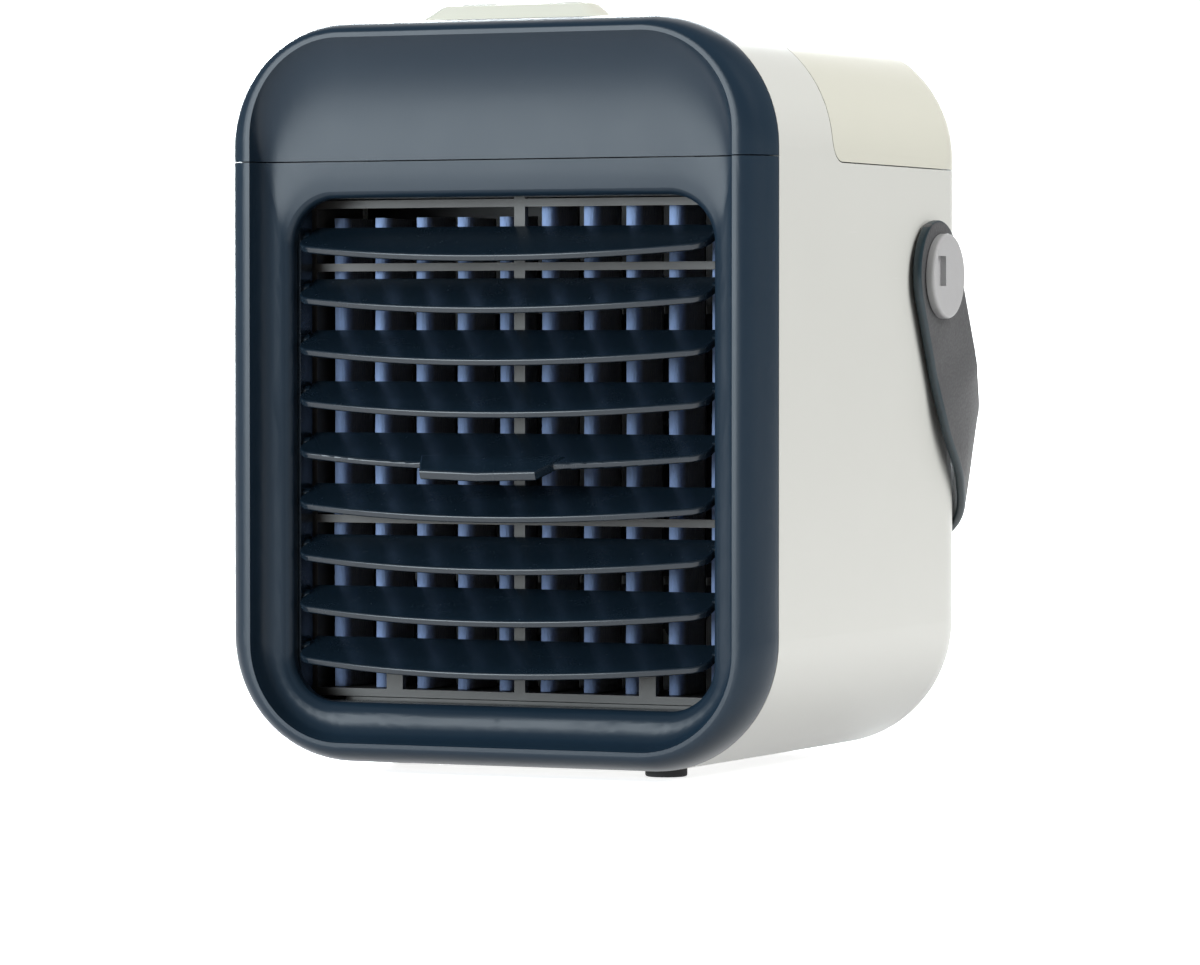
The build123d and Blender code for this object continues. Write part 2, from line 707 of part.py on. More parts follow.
def control_board():
    board = tablet(48, 17, 1.5, key_board_z, key_board_z + 1.6, 0, pod_y + 3.2)
    for x in (-20, 20):
        board -= rod_z(1.2, key_board_z - 1, key_board_z + 3, x, pod_y + 9.5)
    for x in (-key_offset, key_offset):
        board += block(x - 3, x + 3, pod_y - 3, pod_y + 3, key_board_z + 1.5, key_board_z + 5)
        board += rod_z(1.7, key_board_z + 4, key_board_z + 6, x, pod_y)
    board += block(-1.5, 1.5, pod_y - 1, pod_y + 1, key_board_z + 1.5, key_board_z + 2.6)
    return board


key_width = 10.0
key_depth = 6.4


def control_pod():
    base = Pos(0, pod_y, top_z + 0.02) * RectangleRounded(54, 20, 5)
    upper = Pos(0, pod_y, top_z + pod_height) * RectangleRounded(43, 14, 4)
    pod = loft([base, upper])
    pod = fillet(pod.faces().sort_by(Axis.Z)[-1].edges(), 0.8)
    pod += tablet(45.6, 13.0, 2.8, top_z - wall - 1.4, top_z + 0.5, 0, pod_y)
    pod -= tablet(41, 10.2, 2, top_z - wall - 3, top_z + pod_height - 1.8, 0, pod_y)
    for x in (-key_offset, key_offset):
        pod -= tablet(key_width + 0.6, key_depth + 0.6, 2.3, top_z, top_z + 9, x, pod_y)
    return pod - tablet(5.0, 2.4, 1.1, top_z, top_z + 9, 0, pod_y)


def control_key(x, raised):
    """A push key, held by a flange under the pod, with a stem down to its switch."""
    top = top_z + pod_height + 0.6
    key = tablet(key_width, key_depth, 2, top_z + 1, top, x, pod_y)
    key = fillet(key.faces().sort_by(Axis.Z)[-1].edges(), 0.5)
    key += tablet(key_width + 2, key_depth + 2, 2.5, top_z + 0.7, top_z + pod_height - 1.95, x, pod_y)
    key += rod_z(1.6, key_board_z + 6 + key_travel + 0.1, top_z + 1.5, x, pod_y)
    dimple = Pos(x, pod_y, top + 7.6) * Sphere(8.0)
    return key + (Pos(x, pod_y, top) * Box(2.6, 0.7, 0.4)) if raised else key - dimple


def light_window():
    """The clear pipe that carries the working light up to the pod."""
    pipe = tablet(4.9, 2.3, 1.05, top_z - 1, top_z + pod_height + 0.1, 0, pod_y)
    return pipe + rod_z(0.9, key_board_z + 2.8, top_z, 0, pod_y)


# ---- carrying strap -----------------------------------------------------------------------------
def strap_stations():
    """Half of the strap's middle line, from the right button to the middle of the back, as the
    place of each station and the way the strap's width points there."""
    rear = body_depth
    leave = radians(strap_slope)
    flat = []
    for reach in (12.0, 18.0, 24.0):
        place = Vector(strap_mid, pivot_y + reach * sin(leave), pivot_z - reach * cos(leave))
        flat.append((place, Vector(0, cos(leave), sin(leave))))
    return flat + [
        (Vector(strap_mid + 0.3, rear - 20.0, pivot_z - 32.8), Vector(-0.04, 0.87, 0.49)),
        (Vector(half_width + 0.2, rear - 8.7, pivot_z - 45.3), Vector(-0.17, 0.80, 0.57)),
        (Vector(half_width - 7.5, rear + 3.0, pivot_z - 55.5), Vector(-0.24, 0.66, 0.71)),
        (Vector(half_width - 25.5, rear + 11.8, pivot_z - 63.3), Vector(-0.22, 0.46, 0.86)),
        (Vector(half_width - 50.0, rear + 16.6, pivot_z - 67.8), Vector(-0.12, 0.28, 0.95)),
        (Vector(0, rear + 18.0, pivot_z - 69.3), Vector(0, 0.22, 0.975)),
    ]


def strap_band():
    """The whole band, from button to button, as one loft through its stations."""
    stations = strap_stations()
    leave = radians(strap_slope)
    line = Spline([place for place, _ in stations],
                  tangents=[Vector(0, sin(leave), -cos(leave)), Vector(-1, 0, 0)])
    right = []
    for place, across in stations:
        along = line.tangent_at(line.param_at_point(place))
        across = (across - along * across.dot(along)).normalized()
        right.append((place, across, along))
    left = []
    for place, across, along in reversed(right[:-1]):
        left.append((Vector(-place.X, place.Y, place.Z), Vector(-across.X, across.Y, across.Z),
                     Vector(along.X, -along.Y, -along.Z)))
    sections = [Plane(origin=place, x_dir=across, z_dir=along)
                * Rectangle(strap_width, strap_thickness) for place, across, along in right + left]
    return loft(sections)


def strap_tongue():
    """The flat rounded end, with the pivot hole."""
    face = Plane(origin=(strap_inner, pivot_y, pivot_z), x_dir=(0, 1, 0), z_dir=(1, 0, 0))
    tongue = extrude(face * Circle(strap_width / 2), amount=strap_thickness)
    leg = extrude(face * Rot(0, 0, strap_slope) * Pos(0, -6.1) * Rectangle(strap_width, 12.2),
                  amount=strap_thickness)
    return tongue + leg


def carry_strap():
    tongue = strap_tongue()
    strap = strap_band() + tongue + mirrored(tongue)
    reach = 2 * half_width
    return strap - rod_x(shoulder_radius + running_fit, -reach, reach, pivot_y, pivot_z)


def strap_button():
    """A broad metal stud: its head holds the strap, its shoulder is the strap's pivot."""
    head = rod_x(button_radius, button_inner, button_inner + button_thickness, pivot_y, pivot_z)
    head = fillet(head.edges().filter_by(GeomType.CIRCLE).sort_by(Axis.X)[-1], 0.9)
    slot_y = pivot_y - 5.6
    slot = block(button_inner + 0.8, button_inner + 6, slot_y - 2.75, slot_y + 2.75,
                 pivot_z + 1.3 - 3.9, pivot_z + 1.3 + 3.9)
    shoulder = rod_x(shoulder_radius, half_width - wall - 0.2, button_inner + 0.5, pivot_y, pivot_z)
    stem = rod_x(2.5, half_width - wall - 6, half_width - wall, pivot_y, pivot_z)
    return head - slot + shoulder + stem


def strap_washers():
    ring = rod_x(8.0, half_width + 0.02, half_width + washer_thickness, pivot_y, pivot_z)
    ring -= rod_x(shoulder_radius + 0.1, 0, 2 * half_width, pivot_y, pivot_z)
    return Compound([ring, mirrored(ring)])


def strap_nuts():
    face = Plane(origin=(half_width - wall - 4.4, pivot_y, pivot_z), x_dir=(0, 1, 0), z_dir=(1, 0, 0))
    nut = extrude(face * RegularPolygon(6.5, 6), amount=3.8)
    nut -= rod_x(2.5, 0, 2 * half_width, pivot_y, pivot_z)
    return Compound([nut, mirrored(nut)])


# ---- every piece, by name -----------------------------------------------------------------------
front_bezel, bezel_cap = split_bezel()
pieces = {
    "front_bezel": front_bezel,
    "bezel_cap": bezel_cap,
    "housing_shell": housing_shell(),
    "fan_baffle": fan_baffle(),
    "tank_shelf": tank_shelf(),
    "dust_screen": dust_screen(),
    "rubber_feet": rubber_feet(),
    "louver_frame": louver_frame(),
    "louver_screws": louver_screws(),
    "louver_link": louver_link(),
    "water_tank": water_tank(),
    "tank_lid": tank_lid(),
    "lid_seal": lid_seal(),
    "lid_pin": lid_pin(),
    "drip_valve": drip_valve(),
    "drip_trough": drip_trough(),
    "filter_frame": filter_frame(),
    "filter_sheets": filter_sheets(),
    "collector_tray": collector_tray(),
    "fan_frame": fan_frame(),
    "fan_rotor": fan_rotor(),
    "rotor_magnet": rotor_magnet(),
    "fan_shaft": fan_shaft(),
    "fan_bearings": fan_bearings(),
    "motor_stator": motor_stator(),
    "fan_screws": fan_screws(),
    "main_board": main_board(),
    "board_screws": board_screws(),
    "power_inlet": power_inlet(),
    "control_board": control_board(),
    "control_pod": control_pod(),
    "power_key": control_key(-key_offset, True),
    "speed_key": control_key(key_offset, False),
    "light_window": light_window(),
    "carry_strap": carry_strap(),
    "strap_button_right": strap_button(),
    "strap_button_left": mirrored(strap_button()),
    "strap_washers": strap_washers(),
    "strap_nuts": strap_nuts(),
}
for number in range(slat_count):
    pieces[f"slat_{number + 1}"] = slat(number)

whole = Compound([solid for piece in pieces.values() for solid in piece.solids()]).bounding_box()
centre_y = (whole.min.Y + whole.max.Y) / 2
for name, piece in pieces.items():
    placed = Pos(0, -centre_y, 0) * Compound(piece.solids())
    export_step(placed, f"parts/{name}.step")

print("moved by", -centre_y, "box", whole.min, whole.max)
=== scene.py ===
# %% [markdown]
# # A desktop air cooler
# The object is a small box fan that blows through wet filter sheets. Its moulded shells, slats, fan
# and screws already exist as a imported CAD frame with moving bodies. This lesson gives them finishes,
# makes the soft pieces again as finer meshes, and lights the whole like a plain studio shot.
# Everything is in metres, in the frame's own coordinates: +X to the right, +Y to the rear, +Z up.

# %% Load the frame
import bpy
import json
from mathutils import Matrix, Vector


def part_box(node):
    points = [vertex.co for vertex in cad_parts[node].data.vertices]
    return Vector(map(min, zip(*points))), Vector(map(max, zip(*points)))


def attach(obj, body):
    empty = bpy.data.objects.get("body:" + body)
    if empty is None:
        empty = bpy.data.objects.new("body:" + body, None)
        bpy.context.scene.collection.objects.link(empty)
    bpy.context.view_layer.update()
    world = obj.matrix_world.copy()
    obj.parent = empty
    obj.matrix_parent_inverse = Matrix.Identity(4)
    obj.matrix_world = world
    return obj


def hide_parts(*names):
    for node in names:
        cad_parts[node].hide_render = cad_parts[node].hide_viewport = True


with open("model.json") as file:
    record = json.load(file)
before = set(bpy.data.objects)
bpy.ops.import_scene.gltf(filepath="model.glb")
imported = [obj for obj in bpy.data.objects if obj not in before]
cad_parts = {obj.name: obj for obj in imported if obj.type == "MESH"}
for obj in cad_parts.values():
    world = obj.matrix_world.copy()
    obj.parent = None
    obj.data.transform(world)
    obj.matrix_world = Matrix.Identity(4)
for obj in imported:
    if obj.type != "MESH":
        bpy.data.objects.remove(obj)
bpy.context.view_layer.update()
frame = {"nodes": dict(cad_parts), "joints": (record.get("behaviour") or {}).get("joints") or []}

# %% Libraries
import json
from math import cos, pi, radians, sin, sqrt
import bmesh
import bpy
from mathutils import Vector, noise

MM = 0.001

# %% [markdown]
# ## Writing shader maths as Python
# A node tree is hard to read as a list of links. A thin wrapper round a socket lets `1 - mask * 0.3`
# add its own Math nodes, so a finish reads as a formula. Numbers alone stay in Python.

# %% The socket wrapper
class Value:
    """One output socket that carries a number. Arithmetic on it adds Math nodes."""

    def __init__(self, shade, socket):
        self.shade = shade
        self.socket = socket

    def math(self, operation, other):
        return self.shade.node("ShaderNodeMath", {"operation": operation}, {0: self, 1: other})

    def reflected(self, operation, other):
        return self.shade.node("ShaderNodeMath", {"operation": operation}, {0: other, 1: self})

    def __add__(self, other):
        return self.math("ADD", other)

    def __radd__(self, other):
        return self.math("ADD", other)

    def __sub__(self, other):
        return self.math("SUBTRACT", other)

    def __rsub__(self, other):
        return self.reflected("SUBTRACT", other)

    def __mul__(self, other):
        return self.math("MULTIPLY", other)

    def __rmul__(self, other):
        return self.math("MULTIPLY", other)


# %% [markdown]
# ## One method for every other node
# `Shade` owns one material. Its `node` method takes a node's type, the settings that must be made
# first, and what goes into the sockets. The helpers below it name the few nodes used again and again.

# %% The material helper
class Shade:
    """A material under construction, with its Principled shader."""

    def __init__(self, name, colour, roughness, **fixed):
        self.material = bpy.data.materials.new(name)
        self.material.use_nodes = True
        self.tree = self.material.node_tree
        self.shader = self.tree.nodes["Principled BSDF"]
        self.shader.inputs["Base Color"].default_value = (*colour, 1.0)
        self.shader.inputs["Roughness"].default_value = roughness
        self.material.diffuse_color = (*colour, 1.0)
        for socket, value in fixed.items():
            self.shader.inputs[socket.replace("_", " ")].default_value = value
        self.place = self.node("ShaderNodeTexCoord", {}, {}, output="Object")

    def node(self, kind, settings, inputs, output=0):
        made = self.tree.nodes.new(kind)
        for key, value in settings.items():
            if key == "stops":
                self.set_stops(made.color_ramp, value)
            else:
                setattr(made, key, value)
        for key, value in inputs.items():
            if isinstance(value, Value):
                self.tree.links.new(value.socket, made.inputs[key])
            else:
                made.inputs[key].default_value = value
        return Value(self, made.outputs[output])

    def set_stops(self, ramp, stops):
        while len(ramp.elements) < len(stops):
            ramp.elements.new(0.5)
        for element, (position, level) in zip(ramp.elements, stops):
            element.position = position
            element.color = (level, level, level, 1.0)

    def noise(self, size, detail=3.0, rough=0.55, place=None):
        """Smooth noise whose features are about size metres across, from 0 to 1."""
        inputs = {"Vector": place or self.place, "Scale": 1.0 / size, "Detail": detail,
                  "Roughness": rough}
        return self.node("ShaderNodeTexNoise", {}, inputs, output="Fac")

    def cells(self, size, place=None, output="Distance"):
        inputs = {"Vector": place or self.place, "Scale": 1.0 / size}
        return self.node("ShaderNodeTexVoronoi", {}, inputs, output=output)

    def stretched(self, scale):
        """The object's coordinates, scaled along each axis."""
        inputs = {"Vector": self.place, "Scale": scale}
        return self.node("ShaderNodeMapping", {}, inputs)

    def axis(self, letter):
        return self.node("ShaderNodeSeparateXYZ", {}, {0: self.place}, output=letter)

    def band(self, value, low, high):
        """0 below low, 1 above high, smooth between."""
        inputs = {"Value": value, "From Min": low, "From Max": high}
        return self.node("ShaderNodeMapRange", {"interpolation_type": "SMOOTHSTEP"}, inputs)

    def mix(self, share, first, second):
        """A blend of two colours."""
        colours = [c if isinstance(c, Value) else (*c, 1.0) for c in (first, second)]
        inputs = {"Factor": share, 6: colours[0], 7: colours[1]}
        return self.node("ShaderNodeMix", {"data_type": "RGBA"}, inputs, output=2)

    def corners(self, distance, samples=8):
        """1 out in the open, 0 deep in a corner."""
        inputs = {"Distance": distance}
        return self.node("ShaderNodeAmbientOcclusion", {"samples": samples}, inputs, output="AO")

    def bump(self, height, depth, strength=1.0):
        """Relief: height is 0 to 1, depth is in metres."""
        inputs = {"Height": height, "Distance": depth, "Strength": strength}
        self.feed("Normal", self.node("ShaderNodeBump", {}, inputs))

    def feed(self, socket, value):
        self.tree.links.new(value.socket, self.shader.inputs[socket])


# %% [markdown]
# ## Moulded plastic
# Each shell is injection moulded. Its tool was spark eroded, so the skin has a very fine pebble that
# spreads highlights, the colour drifts a little with flow, and handling leaves a faint polish and a
# few hair scratches. One function makes the whole family, and each shell gets its own numbers.

# %% Moulded plastic
def tinted(colour, factor):
    return tuple(min(channel * factor, 1.0) for channel in colour)


def moulded(name, colour, roughness, grain=0.35, relief=0.004, drift=0.06, dust_and_shade=0.0, reach=3,
            grime_and_shade=0.55, **fixed):
    """A plastic with spark-eroded grain of that size and relief, both in millimetres.
    Corners narrower than reach are taken down towards a darker tone: dusty crevices on the outer
    shells, painted shade on the inner parts."""
    shade = Shade(name, colour, roughness, **fixed)
    flow = shade.noise(34 * MM, detail=2.0)
    handled = shade.noise(11 * MM, detail=4.0)
    fine = shade.noise(grain * MM, detail=2.0)
    hair = shade.noise(1.2 * MM, place=shade.stretched((1.0, 0.04, 1.0)), detail=5.0)
    scratch = shade.band(hair, 0.70, 0.76)
    tone = shade.mix(flow, tinted(colour, 1 - drift), tinted(colour, 1 + drift))
    tone = shade.mix(scratch * 0.10, tone, tinted(colour, 1.6))
    # Darkening in corners: dusty crevices on the shells, and painted shade on the inner parts.
    if dust_and_shade:
        open_air = shade.corners(reach * MM)
        tone = shade.mix((1 - open_air) * dust_and_shade, tone, tinted(colour, grime_and_shade))
    shade.feed("Base Color", tone)
    shade.feed("Roughness", roughness + 0.07 * (handled - 0.5) + 0.05 * (fine - 0.5) + 0.05 * scratch)
    shade.bump(fine - scratch * 0.3, relief * MM)
    return shade.material


# %% [markdown]
# The palette. The bezel and slats are one navy, but the slats are polished and the bezel is satin.
# The housing is a cream white, and the tank and control pod were moulded in a slightly warmer batch.

# %% Shell finishes
NAVY = (0.013, 0.028, 0.047)
DEEP_NAVY = (0.008, 0.018, 0.030)
CREAM = (0.70, 0.705, 0.665)
WARM_CREAM = (0.73, 0.725, 0.63)

bezel_finish = moulded("bezel_plastic", NAVY, 0.32, grain=0.30, relief=0.006, drift=0.05,
                       Specular_IOR_Level=0.30)
slat_finish = moulded("slat_plastic", DEEP_NAVY, 0.26, grain=0.30, relief=0.002, drift=0.04,
                      Specular_IOR_Level=0.60)
housing_finish = moulded("housing_plastic", CREAM, 0.34, relief=0.003, drift=0.012, dust_and_shade=0.35)
tank_finish = moulded("tank_plastic", WARM_CREAM, 0.30, relief=0.003, drift=0.012, dust_and_shade=0.35)
# Painted shade: the filter frame, trough and tray are cream plastic given its dark shaded tone, and
# their corners within 14 mm go almost black.
shaded_inner_finish = moulded("inner_plastic", (0.10, 0.095, 0.088), 0.45, grain=0.5, relief=0.008,
                       dust_and_shade=0.95, reach=14, grime_and_shade=0.05)
duct_finish = moulded("duct_plastic", (0.014, 0.015, 0.017), 0.42, grain=0.4, relief=0.008)
silicone_finish = moulded("silicone", (0.52, 0.53, 0.53), 0.5, relief=0.004)
print("shell finishes made")

# %% [markdown]
# ## Rubber, metal and boards
# The feet are a matte rubber with a coarse bloom. The studs are satin blasted and lacquered, the
# screws are zinc, the bearings are porous bronze, and the two boards carry a solder mask.

# %% Rubber
def rubber():
    shade = Shade("foot_rubber", (0.022, 0.022, 0.024), 0.78)
    bloom = shade.noise(3 * MM, detail=5.0)
    pores = shade.noise(0.25 * MM)
    shade.feed("Base Color", shade.mix(bloom, (0.016, 0.016, 0.017), (0.036, 0.036, 0.038)))
    shade.feed("Roughness", 0.70 + 0.15 * bloom)
    shade.bump(pores, 0.02 * MM)
    return shade.material


# %% Foam
def foam():
    shade = Shade("open_cell_foam", (0.018, 0.018, 0.020), 0.95)
    pores = shade.cells(1.1 * MM)
    shade.feed("Base Color", shade.mix(pores, (0.006, 0.006, 0.007), (0.035, 0.035, 0.038)))
    shade.bump(pores, 0.4 * MM)
    return shade.material


# %% Metals
def metal(name, colour, roughness, scale, relief=0.002, metallic=1.0):
    """A metal whose marks run along the axis with the smallest scale."""
    shade = Shade(name, colour, roughness, Metallic=metallic)
    marks = shade.noise(0.25 * MM, detail=4.0, place=shade.stretched(scale))
    tarnish = shade.noise(4 * MM, detail=3.0)
    tone = shade.mix(marks, tinted(colour, 0.88), tinted(colour, 1.08))
    shade.feed("Base Color", shade.mix(tarnish * 0.3, tone, tinted(colour, 0.8)))
    shade.feed("Roughness", roughness + 0.12 * (marks - 0.5) + 0.08 * (tarnish - 0.5))
    shade.bump(marks, relief * MM)
    return shade.material


# %% Boards
def circuit_board():
    shade = Shade("solder_mask", (0.012, 0.11, 0.05), 0.3, Coat_Weight=0.3)
    tracks = shade.cells(3.2 * MM, output="Color")
    grid = shade.node("ShaderNodeSeparateColor", {}, {0: tracks})
    copper = shade.band(grid, 0.48, 0.52)
    shade.feed("Base Color", shade.mix(copper, (0.010, 0.10, 0.045), (0.02, 0.17, 0.07)))
    shade.bump(copper, 0.03 * MM)
    return shade.material


# %% Make the small finishes
rubber_finish = rubber()
foam_finish = foam()
stud_finish = metal("stud_metal", (0.53, 0.53, 0.535), 0.5, (1.0, 1.0, 1.0), metallic=0.2)
zinc_finish = metal("zinc", (0.58, 0.58, 0.60), 0.35, (1.0, 0.2, 1.0))
steel_finish = metal("ground_steel", (0.60, 0.60, 0.61), 0.22, (1.0, 0.1, 1.0))
bronze_finish = metal("porous_bronze", (0.50, 0.33, 0.16), 0.5, (1.0, 1.0, 1.0), 0.02)
ferrite_finish = metal("ferrite", (0.07, 0.07, 0.075), 0.6, (1.0, 1.0, 1.0), 0.02)
copper_finish = metal("enamelled_copper", (0.62, 0.24, 0.10), 0.28, (1.0, 0.1, 1.0), 0.01)
board_finish = circuit_board()
print("small finishes made")


# %% [markdown]
# The little window in the pod is a clear light pipe. Its face is polished and its body is faintly
# cloudy, so the shader stays simple: a pale tint under a clear coat.

# %% Light pipe
def light_pipe():
    shade = Shade("light_pipe", (0.80, 0.85, 0.88), 0.18, Coat_Weight=0.5)
    cloud = shade.noise(1.5 * MM)
    shade.feed("Base Color", shade.mix(cloud, (0.74, 0.80, 0.84), (0.88, 0.92, 0.94)))
    shade.feed("Roughness", 0.14 + 0.10 * cloud)
    return shade.material


pipe_finish = light_pipe()

# %% Give each CAD piece its finish
finishes = {
    bezel_finish: ["front_bezel", "bezel_cap"],
    slat_finish: ["louver_frame", "louver_link"] + [f"slat_{i}" for i in range(1, 10)],
    housing_finish: ["housing_shell", "power_key", "speed_key"],
    tank_finish: ["water_tank", "tank_lid", "control_pod"],
    shaded_inner_finish: ["filter_frame", "drip_trough", "collector_tray"],
    duct_finish: ["fan_frame", "fan_rotor", "fan_baffle", "tank_shelf"],
    foam_finish: ["dust_screen"],
    silicone_finish: ["lid_seal", "drip_valve"],
    rubber_finish: ["rubber_feet", "strap_washers"],
    stud_finish: ["strap_button_right", "strap_button_left"],
    zinc_finish: ["louver_screws", "fan_screws", "board_screws", "strap_nuts", "power_inlet"],
    steel_finish: ["fan_shaft", "lid_pin"],
    bronze_finish: ["fan_bearings"],
    ferrite_finish: ["rotor_magnet"],
    copper_finish: ["motor_stator"],
    board_finish: ["main_board", "control_board"],
    pipe_finish: ["light_window"],
}
for finish, names in finishes.items():
    for name in names:
        node = frame["nodes"][name]
        node.data.materials.clear()
        node.data.materials.append(finish)
print(sum(len(names) for names in finishes.values()), "CAD pieces finished")


# %% [markdown]
# ## Building meshes from rings
# Both soft pieces are lofted: a ring of points is carried along a path and each ring is joined to
# the next. One helper does the joining and caps the ends.

# %% Loft helper
def lofted(name, rings, material, closed_ends=True):
    """A mesh object from equal rings of points, in order along a path."""
    mesh = bmesh.new()
    rows = [[mesh.verts.new(point) for point in ring] for ring in rings]
    count = len(rows[0])
    for row, following in zip(rows, rows[1:]):
        for i in range(count):
            j = (i + 1) % count
            mesh.faces.new((row[i], row[j], following[j], following[i]))
    if closed_ends:
        mesh.faces.new(list(reversed(rows[0])))
        mesh.faces.new(rows[-1])
    bmesh.ops.recalc_face_normals(mesh, faces=mesh.faces)
    data = bpy.data.meshes.new(name)
    mesh.to_mesh(data)
    mesh.free()
    for face in data.polygons:
        face.use_smooth = True
    data.materials.append(material)
    made = bpy.data.objects.new(name, data)
    bpy.context.collection.objects.link(made)
    return made


# %% [markdown]
# ## The filter sheets
# Ten sheets of blue non-woven stand on edge in the frame. Real ones are cut by hand: their tops are
# uneven, they lean and bow by a millimetre or so, and their front edges are a little swollen from
# the knife. A box can't show that, so each sheet is lofted upwards with a slowly wandering section.

# %% Non-woven finish
def non_woven(cut_edge):
    """The front edge is pale, and the sheet behind it is painted almost black as shade."""
    colour = (0.30, 0.42, 0.72)
    shade = Shade("non_woven", colour, 0.9, Sheen_Weight=0.35, Sheen_Roughness=0.5)
    fibres = shade.noise(0.5 * MM, detail=6.0, place=shade.stretched((1.0, 1.0, 0.25)))
    clumps = shade.noise(3.5 * MM, detail=3.0)
    # The sheet's colour lightens towards the top.
    towards_top = shade.band(shade.axis("Z"), 20 * MM, 150 * MM)
    # Painted shade: from about a millimetre behind the front edge the sheet darkens to almost black.
    painted_shade_depth = shade.band(shade.axis("Y"), cut_edge + 0.8 * MM, cut_edge + 5 * MM)
    tone = shade.mix(fibres, tinted(colour, 0.72), tinted(colour, 1.30))
    tone = shade.mix(clumps * 0.35, tone, tinted(colour, 0.62))
    tone = shade.mix(towards_top * 0.25, tone, tinted(colour, 1.5))
    shade.feed("Base Color", shade.mix(painted_shade_depth * 0.96, tone, tinted(colour, 0.03)))
    shade.bump(fibres + 0.6 * clumps, 0.25 * MM)
    return shade.material


# %% Filter sheets
sheets_low, sheets_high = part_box("filter_sheets")
SHEET_COUNT = 10
SHEET_THICKNESS = 3.4 * MM
sheet_pitch = (sheets_high.x - sheets_low.x - SHEET_THICKNESS) / (SHEET_COUNT - 1)


def sheet_ring(x, z, front, rear, seed):
    """The outline of one sheet at one height: a slim rounded strip with a soft front edge."""
    height = (z - sheets_low.z) / (sheets_high.z - sheets_low.z)
    lean = 0.5 * MM * noise.noise((seed, z * 14, 0.0))
    ring = []
    steps = 9
    for side in (-1, 1):
        for i in range(steps):
            along = i / (steps - 1) if side < 0 else 1 - i / (steps - 1)
            y = front + (rear - front) * along
            taper = 1 - 0.2 * (1 - along) ** 12 - 0.35 * along ** 6
            swell = 1 + 0.10 * noise.noise((seed + along * 3, z * 60, side))
            bow = 0.9 * MM * sin(pi * along) * noise.noise((seed, z * 20, 5.0))
            half = 0.5 * SHEET_THICKNESS * 0.93 * taper * swell
            ring.append((x + lean * (1 - height * 0.5) + bow + side * half, y, z))
    return ring


def filter_sheet(index, material):
    x = sheets_low.x + SHEET_THICKNESS / 2 + index * sheet_pitch
    drop = 4 * MM if index < SHEET_COUNT / 2 else 0.0
    top = sheets_high.z - drop - 0.6 * MM
    rings = []
    rows = 40
    for row in range(rows + 1):
        share = row / rows
        ring = sheet_ring(x, sheets_low.z + (top - sheets_low.z) * share, sheets_low.y + 0.2 * MM,
                          sheets_high.y - 0.2 * MM, index * 7.3)
        if row == rows:
            slope = 1.2 * MM * noise.noise((index * 3.1, 1.0, 2.0))
            ring = [(px, py, pz + slope * (py - sheets_low.y) / (18 * MM)) for px, py, pz in ring]
        rings.append(ring)
    return lofted(f"filter_sheet_{index + 1}", rings, material)


sheet_finish = non_woven(sheets_low.y)
for index in range(SHEET_COUNT):
    piece = filter_sheet(index, sheet_finish)
    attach(piece, "body")
    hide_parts("filter_sheets")
print("filter sheets, pitch", round(sheet_pitch / MM, 2), "mm")

# %% [markdown]
# ## The carrying strap
# The strap is two plies of synthetic leather, glued and edge painted. It leaves the stud flat, then
# turns so that its width stands upright behind the body. The CAD band already has this shape, and
# here it is made again from the same stations, with a crowned face, a painted edge with the groove
# between the plies, and fine grain.

# %% Where the strap runs
swing = next(joint for joint in frame["joints"] if joint["name"] == "strap_swing")
pivot = Vector(swing["pos_m"])
_, body_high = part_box("housing_shell")
HALF_WIDTH = body_high.x
REAR = body_high.y
STRAP_WIDTH = 29.4 * MM
STRAP_THICKNESS = 2.6 * MM
STRAP_MID = HALF_WIDTH + 0.75 * MM + STRAP_THICKNESS / 2
LEAVE = radians(26.0)
print("strap pivot", tuple(pivot), "half width", HALF_WIDTH)


# %% Strap stations
def strap_stations():
    """The right half of the strap: places along its middle, and how its width points there."""
    down = Vector((0, sin(LEAVE), -cos(LEAVE)))
    across = Vector((0, cos(LEAVE), sin(LEAVE)))
    middle = Vector((STRAP_MID, pivot.y, pivot.z))
    flat = [(middle + down * (reach * MM), across) for reach in (-14.7, -7, 0, 6, 12, 18, 24)]
    bent = [
        ((STRAP_MID / MM + 0.3, -20.0, -32.8), (-0.04, 0.87, 0.49)),
        ((HALF_WIDTH / MM + 0.2, -8.7, -45.3), (-0.17, 0.80, 0.57)),
        ((HALF_WIDTH / MM - 7.5, 3.0, -55.5), (-0.24, 0.66, 0.71)),
        ((HALF_WIDTH / MM - 25.5, 11.8, -63.3), (-0.22, 0.46, 0.86)),
        ((HALF_WIDTH / MM - 50.0, 16.6, -67.8), (-0.12, 0.28, 0.95)),
        ((0.0, 18.0, -69.3), (0.0, 0.22, 0.975)),
    ]
    for (x, y, z), width in bent:
        flat.append((Vector((x * MM, REAR + y * MM, pivot.z + z * MM)), Vector(width)))
    left = [(Vector((-p.x, p.y, p.z)), Vector((-w.x, w.y, w.z))) for p, w in reversed(flat[:-1])]
    return flat + left


def smooth_between(points, share):
    """A point on the Catmull-Rom curve through points, with share from 0 to 1."""
    spans = len(points) - 1
    span = min(int(share * spans), spans - 1)
    t = share * spans - span
    p0, p1, p2, p3 = (points[max(0, min(spans, span + k))] for k in (-1, 0, 1, 2))
    return 0.5 * (2 * p1 + (p2 - p0) * t + (2 * p0 - 5 * p1 + 4 * p2 - p3) * t ** 2
                  + (3 * p1 - p0 - 3 * p2 + p3) * t ** 3)


